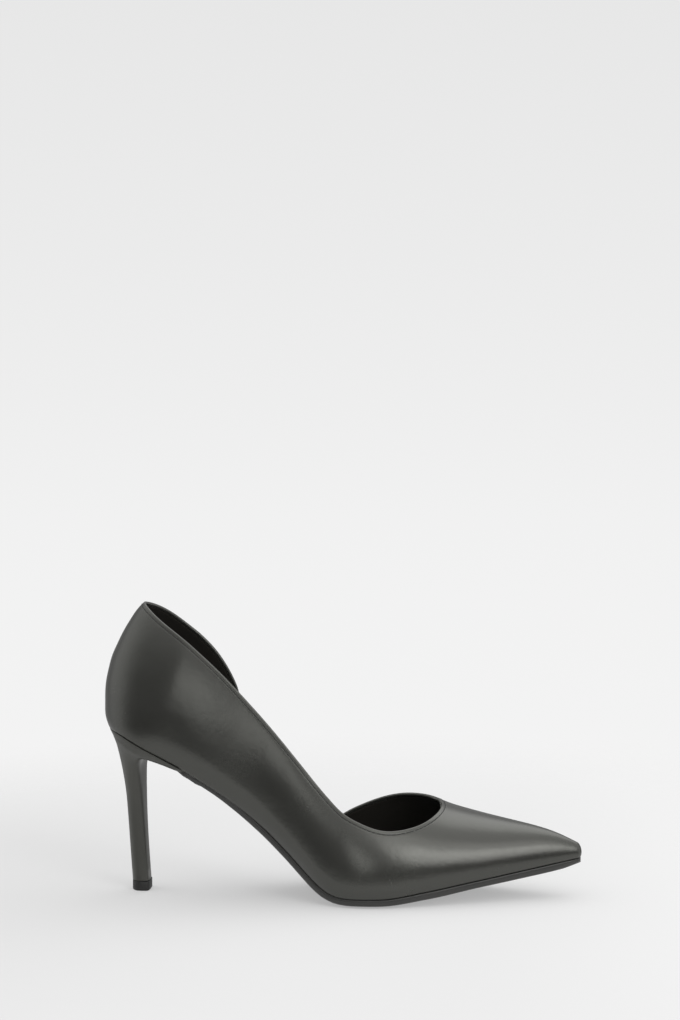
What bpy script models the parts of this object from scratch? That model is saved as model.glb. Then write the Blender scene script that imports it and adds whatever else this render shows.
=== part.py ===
"""Cut-out court shoe for the right foot: upper, insole, outsole, heel and top lift.

+X runs to the toe, +Y to the inner side of the foot and +Z up. The origin is on the floor, under the
middle of the shoe. Sizes are millimetres until a mesh is made. The tables were measured on a sample
last, and are graded from it to the driving dimensions.
"""

import math
from collections import namedtuple
from functools import lru_cache

import bmesh
import bpy
import numpy as np

# Driving dimensions
MM = 0.001
LENGTH = 238.5
BALL_WIDTH = 74.0
INSTEP_HEIGHT = 46.2
HEEL_HEIGHT = 83.6
COLLAR_HEIGHT = 145.8
WALL = 1.6
GAP = 0.3
INSOLE_THICKNESS = 2.0
TREAD_THICKNESS = 4.0
LIFT_HEIGHT = 4.8

# The sample last behind the tables, and the grading from it to this shoe
Last = namedtuple("Last", "length ball instep heel collar tread")
SAMPLE = Last(length=238.5, ball=74.0, instep=46.2, heel=83.6, collar=145.8, tread=4.0)
ALONG = LENGTH / SAMPLE.length
ACROSS = BALL_WIDTH / SAMPLE.ball
CROWN = INSTEP_HEIGHT / SAMPLE.instep
BOTTOM = HEEL_HEIGHT / SAMPLE.heel
COLLAR = COLLAR_HEIGHT / SAMPLE.collar
TREAD = TREAD_THICKNESS / SAMPLE.tread

# Sides of the foot, as the sign of Y
LATERAL = -1
MEDIAL = 1

# Bottom line of the last, from the back of the heel seat to the toe
Bottom = namedtuple("Bottom", "along height")
BOTTOM_LINE = (
    Bottom(0, 83.6),
    Bottom(9, 80.9),
    Bottom(20.5, 75.4),
    Bottom(32.4, 69.5),
    Bottom(48, 60.5),
    Bottom(64, 49.9),
    Bottom(80, 37.3),
    Bottom(92.6, 25.6),
    Bottom(103.5, 14.9),
    Bottom(109, 9.9),
    Bottom(114.5, 6.4),
    Bottom(120, 4.7),
    Bottom(126, 4.3),
    Bottom(140, 4.3),
    Bottom(162, 7.0),
    Bottom(187, 11.1),
    Bottom(212, 15.2),
    Bottom(238.5, 19.5),
)

# Upright sections of the last: half widths, tuck under the feather edge, height of the widest line above
# the bottom, height of the crown above the floor, and the ridge's place across
Section = namedtuple("Section", "along lateral medial tuck girdle crown ridge")
SECTIONS = (
    Section(0, 26, 26, 2.0, 12, 205, 0),
    Section(27, 26, 26, 2.0, 12, 190, 0),
    Section(50, 25.5, 25, 3.5, 14, 165, 1),
    Section(75, 26, 24, 5.0, 14, 135, 2),
    Section(100, 31, 28, 4.5, 13, 98, 3),
    Section(125, 37.5, 35, 2.5, 11, 70, 5),
    Section(150, 34.5, 36, 2.0, 9, 54, 6),
    Section(160, 31, 34, 1.9, 8.5, 50.0, 6.4),
    Section(170, 27, 31, 1.7, 8, 45.9, 6.5),
    Section(180, 23, 27.7, 1.6, 7.3, 42.95, 6.4),
    Section(190, 19, 24, 1.4, 6.5, 40.55, 6.0),
    Section(210, 10.3, 17.0, 1.0, 5, 36.2, 5.0),
    Section(225, 3.7, 11.4, 0.8, 3.8, 32.05, 4.3),
    Section(235.6, -1.0, 7.4, 0.8, 2.8, 27.4, 4.2),
)
GIRDLE_SHARE = 0.12

# Back of the counter: how far forward it lies at each height above the heel seat
Back = namedtuple("Back", "rise along")
BACK_CURVE = (
    Back(0, 1.6),
    Back(5, -0.1),
    Back(11, -0.4),
    Back(17, -0.35),
    Back(23, 0.2),
    Back(29.5, 1.6),
    Back(35.6, 3.3),
    Back(41.7, 6.0),
    Back(48, 9.1),
    Back(54, 12.7),
    Back(59.5, 16.6),
    Back(62.4, 19.4),
)

# Collar round the back, from its highest point to where the two sides part
Collar = namedtuple("Collar", "along height")
LATERAL_COLLAR = (
    Collar(19.4, 145.8),
    Collar(26, 140.5),
    Collar(32, 136.2),
    Collar(38.5, 131.8),
    Collar(45, 127.0),
)
MEDIAL_COLLAR = (
    Collar(19.4, 145.8),
    Collar(26, 141.7),
    Collar(32, 137.8),
    Collar(38.5, 132.5),
    Collar(45, 127.0),
)

# Toplines: each row is a line up the wall, from its foot on the feather edge to its top
Topline = namedtuple("Topline", "foot along height")
LATERAL_TOPLINE = (
    Topline(27, 45, 127.0),
    Topline(38, 54, 119.2),
    Topline(54, 68, 105.6),
    Topline(70, 81, 91.7),
    Topline(86, 95, 75.7),
    Topline(98, 105, 63.9),
    Topline(109, 115, 52.7),
    Topline(118, 122, 46.2),
    Topline(127, 130, 41.8),
    Topline(136, 138, 38.7),
    Topline(145, 146, 37.6),
    Topline(153, 154, 38.4),
    Topline(160, 161.6, 40.6),
    Topline(164.5, 165.8, 43.0),
    Topline(169, 168.1, 45.35),
    Topline(171.5, 168.0, 46.3),
    Topline(174, 167.0, 47.2),
)
MEDIAL_COUNTER = (
    Topline(27, 45, 127.0),
    Topline(35, 51.4, 120.5),
    Topline(43, 56.6, 113.6),
    Topline(51, 60.5, 106.8),
    Topline(58, 63.0, 101.6),
    Topline(64, 64.3, 97.2),
    Topline(69, 64.7, 93.0),
)
MEDIAL_VAMP = (
    Topline(97.5, 96, 26.5),
    Topline(100.5, 99, 26.4),
    Topline(105, 104, 27.6),
    Topline(110.5, 110, 30.3),
    Topline(117, 117.4, 34.8),
    Topline(125, 125, 38.7),
    Topline(135, 135, 43.0),
    Topline(148, 148, 46.8),
    Topline(154, 154, 47.5),
    Topline(160.5, 159.5, 47.7),
    Topline(167.5, 164.2, 47.5),
    Topline(171.5, 166.2, 47.26),
    Topline(174, 167.0, 47.2),
)

# Where the round ends of the last begin, and the half angle of the pointed toe
HEEL_PIVOT = 27.0 * ALONG
NOSE = 235.6 * ALONG
NOSE_ANGLE = math.radians(22.0)
THROAT_FOOT = LATERAL_TOPLINE[-1].foot * ALONG
THROAT_LEAN = THROAT_FOOT - LATERAL_TOPLINE[-1].along * ALONG
THROAT_BEND = 3

# Spacing of the wall's lines
COLUMN_STEP = 5.0
SOLE_STEP = 3.0
THROAT_STEP = 2.5
THROAT_START = 148.0 * ALONG
HEEL_COLUMNS = 16
NOSE_COLUMNS = 6
WALL_ROWS = 12
ROUND_STEPS = 6
TIP_SHARE = 0.995
PROBE = 1.0
BISECTIONS = 40
MERGE = 0.01
SHARP_ANGLE = math.radians(40.0)

# Outsole: thickness along the foot, how far its underside lifts to the edges, how far its edge stands out
# from the upper, and how far it is set in between the heel's wings
Sole = namedtuple("Sole", "along thickness camber reveal inset")
SOLE = (
    Sole(20, 1.3, 0.0, 0.0, 3.2),
    Sole(44.5, 1.3, 0.0, 0.0, 3.2),
    Sole(49, 1.9, 0.1, 0.0, 0.5),
    Sole(57, 2.0, 0.1, 0.0, 0.3),
    Sole(66, 2.5, 0.2, 0.0, 0.3),
    Sole(78, 2.9, 0.3, 0.1, 0.1),
    Sole(95, 3.0, 0.4, 0.2, 0.0),
    Sole(106, 3.3, 0.6, 0.4, 0.0),
    Sole(122, 4.0, 1.1, 0.6, 0.0),
    Sole(141, 4.0, 1.1, 0.6, 0.0),
    Sole(165, 4.0, 0.8, 0.6, 0.0),
    Sole(190, 3.5, 0.5, 0.6, 0.0),
    Sole(215, 3.5, 0.3, 0.6, 0.0),
    Sole(228, 3.3, 0.2, 0.5, 0.0),
    Sole(238.5, 1.7, 0.2, 0.1, 0.0),
)
SOLE_START = 20.5 * ALONG
SOLE_EDGE_SHARE = 0.6
SOLE_EDGE_ROUND = 0.9
SOLE_KNEE = 0.3
SOLE_TIP = 2.4
SOLE_FLAT_SHARE = 0.55

# Channel in the heel that takes the end of the outsole, and where it breaks through the heel's front
CHANNEL_END = 52.0 * ALONG
CHANNEL_LIP = 24.5 * ALONG
CHANNEL_PLUNGE = 1.5

# Insole: clearance from the feather edge, more at the toe's tip and less where the inner side is cut away
INSOLE_INSET = 2.8
INSOLE_SETBACK = 6.6
CUTOUT_INSET = 0.4
CUTOUT_START = 70.0 * ALONG
CUTOUT_END = 96.0 * ALONG
CUTOUT_RAMP = 6.0

# Heel: rings from the seat to the tip. Tilt 1 follows the bottom line, 0 is level
Ring = namedtuple("Ring", "height back middle front half tilt")
HEEL_RINGS = (
    Ring(82.8, 2.0, 27.0, 46.5, 24.2, 1.0),
    Ring(81.4, 2.5, 25.5, 44.0, 23.6, 1.0),
    Ring(79.9, 3.3, 23.5, 38.5, 22.8, 1.0),
    Ring(78.4, 4.0, 21.0, 29.5, 21.9, 1.0),
    Ring(76.6, 4.8, 19.4, 23.0, 20.8, 0.95),
    Ring(73.8, 5.7, 17.8, 20.6, 19.0, 0.8),
    Ring(68.0, 7.1, 15.5, 19.2, 15.8, 0.55),
    Ring(60.0, 8.6, 14.5, 19.1, 12.1, 0.3),
    Ring(50.0, 9.9, 14.8, 19.5, 8.8, 0.1),
    Ring(38.0, 10.8, 15.3, 19.9, 6.8, 0.0),
    Ring(22.0, 11.8, 16.2, 20.7, 5.9, 0.0),
    Ring(5.1, 12.9, 17.5, 21.8, 5.9, 0.0),
)
HEEL_RING_COUNT = 30
HEEL_BACK_POINTS = 14
HEEL_FRONT_POINTS = 10
HEEL_BACK_POWER = 2.1
HEEL_BREAST_POWER = 5.0
LIFT_FLARE = 0.35
LIFT_BEVEL = 0.4

# Colour, roughness and metallic value of each piece
Finish = namedtuple("Finish", "colour roughness metallic")
FINISHES = {
    "upper": Finish((0.035, 0.034, 0.031), 0.45, 0.0),
    "insole": Finish((0.020, 0.019, 0.018), 0.70, 0.0),
    "outsole": Finish((0.022, 0.022, 0.021), 0.50, 0.0),
    "heel": Finish((0.040, 0.038, 0.034), 0.42, 0.0),
    "top_lift": Finish((0.015, 0.015, 0.015), 0.55, 0.0),
}


def smooth_curve(keys, values):
    """Natural cubic spline through a table's column."""
    keys = np.array(keys, dtype=float)
    values = np.array(values, dtype=float)
    count = len(keys)
    steps = np.diff(keys)
    slopes = np.diff(values) / steps
    matrix = np.eye(count)
    target = np.zeros(count)
    for row in range(1, count - 1):
        matrix[row, row - 1:row + 2] = steps[row - 1], 2 * (steps[row - 1] + steps[row]), steps[row]
        target[row] = 6 * (slopes[row] - slopes[row - 1])
    bend = np.linalg.solve(matrix, target)

    def value_at(key):
        span = int(np.clip(np.searchsorted(keys, key) - 1, 0, count - 2))
        left = (keys[span + 1] - key) / steps[span]
        right = 1 - left
        curve = (left ** 3 - left) * bend[span] + (right ** 3 - right) * bend[span + 1]
        return float(left * values[span] + right * values[span + 1] + curve * steps[span] ** 2 / 6)

    return value_at


def flat_curve(keys, values):
    """Cubic curve through a table's column that never overshoots, so level runs stay level."""
    keys = np.array(keys, dtype=float)
    values = np.array(values, dtype=float)
    steps = np.diff(keys)
    slopes = np.diff(values) / steps
    tangents = np.concatenate(([slopes[0]], np.zeros(len(slopes) - 1), [slopes[-1]]))
    for row in range(1, len(slopes)):
        before, after = slopes[row - 1], slopes[row]
        if before * after > 0:
            near, far = 2 * steps[row] + steps[row - 1], steps[row] + 2 * steps[row - 1]
            tangents[row] = (near + far) / (near / before + far / after)

    def value_at(key):
        key = min(max(key, keys[0]), keys[-1])
        span = int(np.clip(np.searchsorted(keys, key) - 1, 0, len(steps) - 1))
        step = steps[span]
        part = (key - keys[span]) / step
        rest = 1 - part
        start = rest * rest * (values[span] * (1 + 2 * part) + tangents[span] * step * part)
        end = part * part * (values[span + 1] * (1 + 2 * rest) - tangents[span + 1] * step * rest)
        return float(start + end)

    return value_at


def column_of(table, name, scale=1.0):
    """One named column of a table, graded."""
    return [getattr(row, name) * scale for row in table]


def table_curve(table, key, key_scale, name, scale, make=smooth_curve):
    """A column of a table as a curve over its key column."""
    return make(column_of(table, key, key_scale), column_of(table, name, scale))


bottom_height = table_curve(BOTTOM_LINE, "along", ALONG, "height", BOTTOM, flat_curve)
half_width = {
    LATERAL: table_curve(SECTIONS, "along", ALONG, "lateral", ACROSS),
    MEDIAL: table_curve(SECTIONS, "along", ALONG, "medial", ACROSS),
}
tuck_width = table_curve(SECTIONS, "along", ALONG, "tuck", ACROSS)
girdle_rise = table_curve(SECTIONS, "along", ALONG, "girdle", CROWN)
crown_height = table_curve(SECTIONS, "along", ALONG, "crown", CROWN)
ridge_across = table_curve(SECTIONS, "along", ALONG, "ridge", ACROSS)
back_along = table_curve(BACK_CURVE, "rise", COLLAR, "along", ALONG)
collar_height = {
    LATERAL: table_curve(LATERAL_COLLAR, "along", ALONG, "height", COLLAR),
    MEDIAL: table_curve(MEDIAL_COLLAR, "along", ALONG, "height", COLLAR),
}
sole_thickness = table_curve(SOLE, "along", ALONG, "thickness", TREAD, flat_curve)
sole_camber = table_curve(SOLE, "along", ALONG, "camber", 1.0, flat_curve)
sole_reveal = table_curve(SOLE, "along", ALONG, "reveal", 1.0, flat_curve)
sole_inset = table_curve(SOLE, "along", ALONG, "inset", 1.0, flat_curve)


def slope_at(curve, along):
    """Slope of a curve, measured across a short probe."""
    return (curve(along + PROBE / 2) - curve(along - PROBE / 2)) / PROBE


def steepness(along):
    """Length along the bottom line for each millimetre along the floor."""
    return math.hypot(1.0, slope_at(bottom_height, along))


def section_point(along, side, up):
    """A point on the last: up is 0 on the feather edge, GIRDLE_SHARE at the widest and 1 on the ridge."""
    half = half_width[side](along)
    girdle = bottom_height(along) + girdle_rise(along)
    if up < GIRDLE_SHARE:
        below = 1 - up / GIRDLE_SHARE
        across = side * (half - tuck_width(along) * below ** 2)
        return np.array((along, across, girdle - girdle_rise(along) * below))
    turn = (up - GIRDLE_SHARE) / (1 - GIRDLE_SHARE) * math.pi / 2
    ridge = ridge_across(along)
    across = ridge + (side * half - ridge) * math.cos(turn)
    return np.array((along, across, girdle + (crown_height(along) - girdle) * math.sin(turn)))


def topline_share(along, side, height):
    """How far up the section at this place the wall reaches the given height."""
    low, high = 0.0, 1.0
    for _ in range(BISECTIONS):
        middle = (low + high) / 2
        if section_point(along, side, middle)[2] < height:
            low = middle
        else:
            high = middle
    return low


@lru_cache(maxsize=None)
def topline_curves(table, side):
    """Where the topline lies along the foot and up the section, over the foot of each wall line."""
    feet = column_of(table, "foot", ALONG)
    shares = [topline_share(row.along * ALONG, side, row.height * COLLAR) for row in table]
    return smooth_curve(feet, column_of(table, "along", ALONG)), smooth_curve(feet, shares)


def wall_line(table, side, foot):
    """The line up the wall from a foot on the feather edge, as a function of its share from 0 to 1."""
    if foot >= THROAT_FOOT:
        lean = THROAT_LEAN * (NOSE - foot) / (NOSE - THROAT_FOOT)
        return lambda share: section_point(foot - lean * share ** THROAT_BEND, side, share)
    topline_along, topline_up = topline_curves(table, side)
    along, top = topline_along(foot), topline_up(foot)
    return lambda share: section_point(foot + (along - foot) * share, side, top * share)


def heel_line(turn):
    """A line up the round of the heel: turn is 0 at the lateral pivot and pi at the medial one."""
    side = LATERAL if math.cos(turn) >= 0 else MEDIAL
    table = LATERAL_TOPLINE if side == LATERAL else MEDIAL_COUNTER
    pivot_line = wall_line(table, side, HEEL_PIVOT)
    next_line = wall_line(table, side, HEEL_PIVOT + PROBE)
    foot, top = pivot_line(0)[2], pivot_line(1)[2]
    seat = bottom_height(back_along(0))
    rise_at_back = COLLAR_HEIGHT - seat
    forward = 1 - math.sin(turn)

    def along_at(share):
        pivot = pivot_line(share)
        climb = (pivot[2] - foot) / (top - foot)
        back = back_along(climb * rise_at_back)
        return back + (pivot[0] - back) * forward

    line_foot = bottom_height(along_at(0))
    line_top = collar_height[side](along_at(1))

    def point(share):
        pivot = pivot_line(share)
        ahead = next_line(share)
        climb = (pivot[2] - foot) / (top - foot)
        along = along_at(share)
        taper = (ahead[1] - pivot[1]) / (ahead[0] - pivot[0])
        across = (pivot[1] + taper * (along - pivot[0])) * abs(math.cos(turn))
        return np.array((along, across, line_foot + climb * (line_top - line_foot)))

    return point


def nose_line(turn):
    """A line up the round tip of the toe, from the lateral side round to the medial one."""

    def point(share):
        lateral = section_point(NOSE, LATERAL, share)
        medial = section_point(NOSE, MEDIAL, share)
        behind = section_point(NOSE - PROBE, LATERAL, share)
        radius = (medial[1] - lateral[1]) / 2 / math.cos(NOSE_ANGLE)
        middle = (medial[1] + lateral[1]) / 2
        ahead = radius * (math.sin(turn) - math.sin(NOSE_ANGLE))
        height = lateral[2] + (lateral[2] - behind[2]) / PROBE * ahead
        return np.array((NOSE + ahead, middle - radius * math.cos(turn), height))

    return point


def spread(start, end, step):
    """Evenly spaced places from start to end, both included."""
    count = max(1, round(abs(end - start) / step))
    return [start + (end - start) * index / count for index in range(count + 1)]


def upper_lines():
    """The wall's lines in order: inner counter, heel, outer side, toe and inner vamp."""
    counter_end = MEDIAL_COUNTER[-1].foot * ALONG
    vamp_end = MEDIAL_VAMP[0].foot * ALONG
    lines = [wall_line(MEDIAL_COUNTER, MEDIAL, foot) for foot in spread(counter_end, HEEL_PIVOT, COLUMN_STEP)]
    turns = spread(math.pi, 0, math.pi / HEEL_COLUMNS)
    lines += [heel_line(turn) for turn in turns[1:-1]]
    lateral = spread(HEEL_PIVOT, THROAT_START, COLUMN_STEP)[:-1]
    lateral += spread(THROAT_START, THROAT_FOOT, THROAT_STEP)[:-1]
    vamp = spread(THROAT_FOOT, NOSE, COLUMN_STEP)
    lines += [wall_line(LATERAL_TOPLINE, LATERAL, foot) for foot in lateral + vamp]
    turns = spread(NOSE_ANGLE, math.pi - NOSE_ANGLE, (math.pi - 2 * NOSE_ANGLE) / NOSE_COLUMNS)
    lines += [nose_line(turn) for turn in turns[1:-1]]
    medial = vamp[::-1] + spread(THROAT_FOOT, THROAT_START, THROAT_STEP)[1:]
    medial += spread(THROAT_START, vamp_end, COLUMN_STEP)[1:]
    lines += [wall_line(MEDIAL_VAMP, MEDIAL, foot) for foot in medial]
    return lines


def feather_across(along, side):
    """Y of the feather edge on the straight run between the round ends."""
    return side * (half_width[side](along) - tuck_width(along))


def nose_circle():
    """Middle and radius of the feather edge round the tip of the toe."""
    lateral = feather_across(NOSE, LATERAL)
    medial = feather_across(NOSE, MEDIAL)
    return (lateral + medial) / 2, (medial - lateral) / 2 / math.cos(NOSE_ANGLE)


def toe_tip(inset):
    """How far forward the feather edge reaches, moved in by the inset."""
    radius = nose_circle()[1]
    return NOSE + radius * (1 - math.sin(NOSE_ANGLE)) - inset


def plan_across(along, side, inset):
    """Y of the feather edge at a place along the foot, moved in by the inset."""

    def edge(place):
        return feather_across(place, side)

    if along < HEEL_PIVOT:
        depth = HEEL_PIVOT - back_along(0) - inset
        swing = math.sqrt(max(0.0, 1 - ((HEEL_PIVOT - along) / depth) ** 2))
        taper = slope_at(edge, HEEL_PIVOT) * (along - HEEL_PIVOT)
        return (edge(HEEL_PIVOT) - side * inset + taper) * swing
    if along <= NOSE:
        return edge(along) - side * inset * math.hypot(1.0, slope_at(edge, along))
    middle, radius = nose_circle()
    centre = NOSE - radius * math.sin(NOSE_ANGLE)
    reach = math.sqrt(max(0.0, (radius - inset) ** 2 - (along - centre) ** 2))
    return middle + side * reach


def stations(start, end, round_start, round_end, step):
    """Places along a flat piece, closer together where its ends are round."""
    first, last = start + round_start, end - round_end
    turns = [math.pi / 2 * index / ROUND_STEPS for index in range(1, ROUND_STEPS)]
    places = spread(first, last, step)
    if round_start:
        places = [first - round_start * math.cos(turn) for turn in turns] + places
    if round_end:
        places += [last + round_end * math.sin(turn) for turn in turns] + [last + round_end * TIP_SHARE]
    return places


def slab_ring(along, lateral, medial, low, high):
    """The four corners of a flat piece's section."""
    return [(along, lateral, low), (along, medial, low), (along, medial, high), (along, lateral, high)]


def new_object(name, bm):
    """A named object with its own material, from a mesh in millimetres."""
    bmesh.ops.scale(bm, vec=(MM, MM, MM), verts=bm.verts)
    mesh = bpy.data.meshes.new(name)
    bm.to_mesh(mesh)
    bm.free()
    mesh.shade_smooth()
    mesh.set_sharp_from_angle(angle=SHARP_ANGLE)
    obj = bpy.data.objects.new(name, mesh)
    bpy.context.scene.collection.objects.link(obj)
    if name in FINISHES:
        mesh.materials.append(finish_material(name, FINISHES[name]))
    return obj


def finish_material(name, finish):
    """A plain Principled material."""
    material = bpy.data.materials.new(name)
    material.use_nodes = True
    shader = material.node_tree.nodes["Principled BSDF"]
    shader.inputs["Base Color"].default_value = (*finish.colour, 1.0)
    shader.inputs["Roughness"].default_value = finish.roughness
    shader.inputs["Metallic"].default_value = finish.metallic
    return material


def cap(bm, loop, start):
    """Close a loop with strips between the points that face each other, counted from the start."""
    count = len(loop)
    pairs = [(loop[(start - step) % count], loop[(start + step) % count]) for step in range(count // 2 + 1)]
    for (left, right), (next_left, next_right) in zip(pairs, pairs[1:]):
        bm.faces.new(dict.fromkeys((left, right, next_right, next_left)))


def loft(rings, start=0):
    """A closed mesh through rings of points, with both ends capped from the ring's start point."""
    bm = bmesh.new()
    loops = [[bm.verts.new(point) for point in ring] for ring in rings]
    for lower, upper in zip(loops, loops[1:]):
        for index in range(len(lower)):
            ahead = (index + 1) % len(lower)
            bm.faces.new((lower[index], lower[ahead], upper[ahead], upper[index]))
    cap(bm, loops[0][::-1], len(rings[0]) - 1 - start)
    cap(bm, loops[-1], start)
    if bm.calc_volume(signed=True) < 0:
        bmesh.ops.reverse_faces(bm, faces=bm.faces)
    return bm


def make_upper():
    """The hollow upper: one wall, open at the top, at the inner cut-out and underneath."""
    bm = bmesh.new()
    shares = [row / WALL_ROWS for row in range(WALL_ROWS + 1)]
    columns = [[bm.verts.new(line(share)) for share in shares] for line in upper_lines()]
    for left, right in zip(columns, columns[1:]):
        for row in range(WALL_ROWS):
            bm.faces.new((left[row], right[row], right[row + 1], left[row + 1]))
    bmesh.ops.remove_doubles(bm, verts=bm.verts, dist=MERGE)
    upper = new_object("upper", bm)
    wall = upper.modifiers.new("wall", "SOLIDIFY")
    wall.thickness = WALL * MM
    wall.offset = -1.0
    wall.use_quality_normals = True
    return upper


def cutout_inset(along):
    """Clearance of the insole on the inner side, where it runs out to the edge at the cut-out."""
    start = min(1.0, max(0.0, (along - CUTOUT_START) / CUTOUT_RAMP))
    end = min(1.0, max(0.0, (CUTOUT_END - along) / CUTOUT_RAMP))
    bare = min(start, end)
    bare = bare * bare * (3 - 2 * bare)
    return INSOLE_INSET + (CUTOUT_INSET - INSOLE_INSET) * bare


def make_insole():
    """The insole, lying on the bottom line inside the wall."""
    start = back_along(0) + INSOLE_INSET
    end = toe_tip(INSOLE_SETBACK)
    rings = []
    for along in stations(start, end, HEEL_PIVOT - start, 0.0, COLUMN_STEP):
        low = bottom_height(along)
        high = low + INSOLE_THICKNESS * steepness(along)
        lateral = plan_across(along, LATERAL, INSOLE_INSET)
        medial = plan_across(along, MEDIAL, cutout_inset(along))
        rings.append(slab_ring(along, lateral, medial, low, high))
    return new_object("insole", loft(rings))


def sole_rings():
    """Rings of the outsole from the heel to the toe."""
    rings = []
    end = toe_tip(-sole_reveal(LENGTH))
    for along in stations(SOLE_START, end, 0.0, SOLE_TIP, SOLE_STEP):
        steep = steepness(along)
        high = bottom_height(along) - GAP * steep
        inset = sole_inset(along) - sole_reveal(along)
        lateral = plan_across(along, LATERAL, inset)
        medial = plan_across(along, MEDIAL, inset)
        middle = (lateral + medial) / 2
        edge = min(SOLE_EDGE_ROUND, (medial - lateral) / 4)
        low = high - sole_thickness(along) * steep
        rim = low + sole_camber(along)
        side = high - (high - rim) * SOLE_EDGE_SHARE
        knee = (side + rim) / 2
        ring = []
        for outer, inward in ((lateral, 1), (medial, -1)):
            flat = middle + (outer - middle) * SOLE_FLAT_SHARE
            half = [(outer, high), (outer, side), (outer + inward * edge * SOLE_KNEE, knee),
                    (outer + inward * edge, rim), (flat, low)]
            ring += half[::inward]
        rings.append([(along, across, height) for across, height in ring])
    return rings


def channel_rings():
    """Rings of the cutter for the heel's channel: clear of the sole, then down through the heel's front."""
    rings = []
    for along in spread(SOLE_START - GAP, CHANNEL_END, SOLE_STEP):
        steep = steepness(along)
        high = bottom_height(along) + WALL
        plunge = max(0.0, along - CHANNEL_LIP) * CHANNEL_PLUNGE
        low = bottom_height(along) - (sole_thickness(along) + 2 * GAP) * steep - plunge
        lateral = plan_across(along, LATERAL, sole_inset(along) - GAP)
        medial = plan_across(along, MEDIAL, sole_inset(along) - GAP)
        rings.append(slab_ring(along, lateral, medial, low, high))
    return rings


def ring_outline(ring):
    """Plan of one heel ring: a round back and a slightly bowed breast."""
    points = []
    back = (HEEL_BACK_POINTS, ring.back, HEEL_BACK_POWER, 0.0)
    breast = (HEEL_FRONT_POINTS, ring.front, HEEL_BREAST_POWER, math.pi)
    for count, end, power, start in (back, breast):
        for index in range(count):
            turn = start + math.pi * index / count
            across = math.copysign(abs(math.cos(turn)) ** (2 / power), math.cos(turn))
            reach = abs(math.sin(turn)) ** (2 / power)
            points.append((ring.middle + (end - ring.middle) * reach, ring.half * across))
    return points


def ring_points(ring):
    """A heel ring in space, tilted towards the bottom line."""
    level = bottom_height(ring.back)
    return [
        (along, across, ring.height + ring.tilt * (bottom_height(along) - level))
        for along, across in ring_outline(ring)
    ]


def graded_ring(ring):
    """A ring of the sample heel at this shoe's size."""
    return Ring(ring.height * BOTTOM, ring.back * ALONG, ring.middle * ALONG, ring.front * ALONG,
                ring.half * ACROSS, ring.tilt)


def make_heel():
    """The slim heel, with a channel under its seat for the outsole."""
    table = [graded_ring(ring) for ring in HEEL_RINGS]
    order = list(range(len(table)))
    curves = [smooth_curve(order, [ring[column] for ring in table]) for column in range(len(Ring._fields))]
    rings = []
    for index in range(HEEL_RING_COUNT + 1):
        place = index / HEEL_RING_COUNT * order[-1]
        rings.append(ring_points(Ring(*[curve(place) for curve in curves])))
    heel = new_object("heel", loft(rings, HEEL_BACK_POINTS // 2))
    channel = new_object("sole_channel", loft(channel_rings()))
    channel.hide_render = True
    channel.display_type = "WIRE"
    cut = heel.modifiers.new("channel", "BOOLEAN")
    cut.operation = "DIFFERENCE"
    cut.solver = "EXACT"
    cut.object = channel
    return heel, channel


def make_top_lift():
    """The tip under the heel, slightly larger than the heel's end."""
    tip = graded_ring(HEEL_RINGS[-1])
    top = tip._replace(height=LIFT_HEIGHT, half=tip.half + LIFT_FLARE, front=tip.front + LIFT_FLARE)
    foot = top._replace(height=LIFT_BEVEL)
    floor = top._replace(height=0.0, half=top.half - LIFT_BEVEL, back=top.back + LIFT_BEVEL,
                         front=top.front - LIFT_BEVEL)
    rings = [ring_points(ring) for ring in (top, foot, floor)]
    return new_object("top_lift", loft(rings, HEEL_BACK_POINTS // 2))


def centre_on_floor(pieces):
    """Hang every piece on an empty that puts the middle of their box over the origin."""
    frame = bpy.data.objects.new("shoe", None)
    bpy.context.scene.collection.objects.link(frame)
    solids = [piece for piece in pieces if not piece.hide_render]
    points = np.array([vertex.co for piece in solids for vertex in piece.data.vertices])
    middle = (points.min(axis=0) + points.max(axis=0)) / 2
    frame.location = (-middle[0], -middle[1], 0.0)
    for piece in pieces:
        piece.parent = frame


def main():
    for obj in list(bpy.data.objects):
        bpy.data.objects.remove(obj)
    upper = make_upper()
    insole = make_insole()
    outsole = new_object("outsole", loft(sole_rings()))
    heel, channel = make_heel()
    top_lift = make_top_lift()
    centre_on_floor([upper, insole, outsole, heel, channel, top_lift])


main()
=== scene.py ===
"""Cut-out court shoe for the right foot: leather, lining, stitching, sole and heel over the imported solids.

The wall of the upper is drawn on the solids' last, leaned in a little more at the top of the counter. It is
drawn in millimetres from the back of the heel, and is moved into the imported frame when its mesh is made.
+X runs to the toe and +Y to the inner side.
"""

import math
from collections import namedtuple
from functools import lru_cache

import bpy
import numpy as np
from mathutils import Matrix, Vector
from mathutils.bvhtree import BVHTree
from mathutils.kdtree import KDTree


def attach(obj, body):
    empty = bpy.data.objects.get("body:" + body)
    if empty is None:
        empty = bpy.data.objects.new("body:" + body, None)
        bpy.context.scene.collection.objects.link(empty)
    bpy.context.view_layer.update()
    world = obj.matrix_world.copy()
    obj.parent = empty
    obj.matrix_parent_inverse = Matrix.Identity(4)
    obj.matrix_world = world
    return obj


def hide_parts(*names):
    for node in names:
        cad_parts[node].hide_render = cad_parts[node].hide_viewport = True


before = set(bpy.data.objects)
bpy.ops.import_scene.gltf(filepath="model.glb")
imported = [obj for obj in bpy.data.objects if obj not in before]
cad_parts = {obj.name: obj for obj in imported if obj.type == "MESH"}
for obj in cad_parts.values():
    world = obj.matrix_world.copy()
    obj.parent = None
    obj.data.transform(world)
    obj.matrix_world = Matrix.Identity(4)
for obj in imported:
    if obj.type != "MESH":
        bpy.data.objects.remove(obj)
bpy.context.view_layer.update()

MM = 0.001
LATERAL = -1
MEDIAL = 1

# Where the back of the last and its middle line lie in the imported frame
LAST_BACK = -118.671
LAST_MIDDLE = 0.577

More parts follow.
